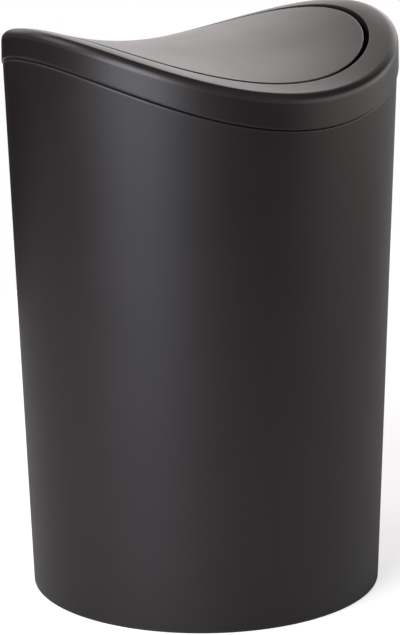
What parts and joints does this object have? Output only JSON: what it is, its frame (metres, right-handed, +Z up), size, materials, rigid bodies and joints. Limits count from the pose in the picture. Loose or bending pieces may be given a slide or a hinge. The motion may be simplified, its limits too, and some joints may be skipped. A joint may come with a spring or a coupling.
{
  "type": "swing-lid trash can",
  "caption": "Tapered round waste bin with a lift-off lid frame cut to a saddle and a round saddle flap that swings about pins and levels itself.",
  "frame": {"origin": "centre of the foot ring, on the ground", "axes": "+Z up, Y along the flap's pivot axis where the rim is low, X towards the two raised ends of the lid"},
  "size_m": [0.1898, 0.1908, 0.2817],
  "materials": {
    "bucket_plastic": "charcoal moulded polypropylene, satin",
    "lid_plastic": "charcoal moulded polypropylene, satin",
    "flap_plastic": "charcoal moulded polypropylene, satin",
    "cap_plastic": "black moulded polypropylene, satin",
    "bush_plastic": "natural acetal, as moulded",
    "pin_steel": "turned steel",
    "weight_steel": "sawn and bevelled steel bar"
  },
  "bodies": {
    "bucket": {"bucket": "bucket_plastic"},
    "lid": {"lid_frame": "lid_plastic", "pivot_bush_front": "bush_plastic", "pivot_bush_rear": "bush_plastic"},
    "flap": {"swing_flap": "flap_plastic", "pivot_pin_front": "pin_steel", "pivot_pin_rear": "pin_steel", "counterweight_front": "weight_steel", "counterweight_rear": "weight_steel", "weight_cap_front": "cap_plastic", "weight_cap_rear": "cap_plastic"}
  },
  "joints": [
    {"name": "lid_lift", "type": "slide", "parent": "bucket", "child": "lid", "axis": [0, 0, 1], "range_m": [0, 0.08]},
    {"name": "flap_swing", "type": "hinge", "parent": "lid", "child": "flap", "pos_m": [0, 0, 0.24661], "axis": [0, 1, 0], "range_deg": [-75, 75]}
  ]
}
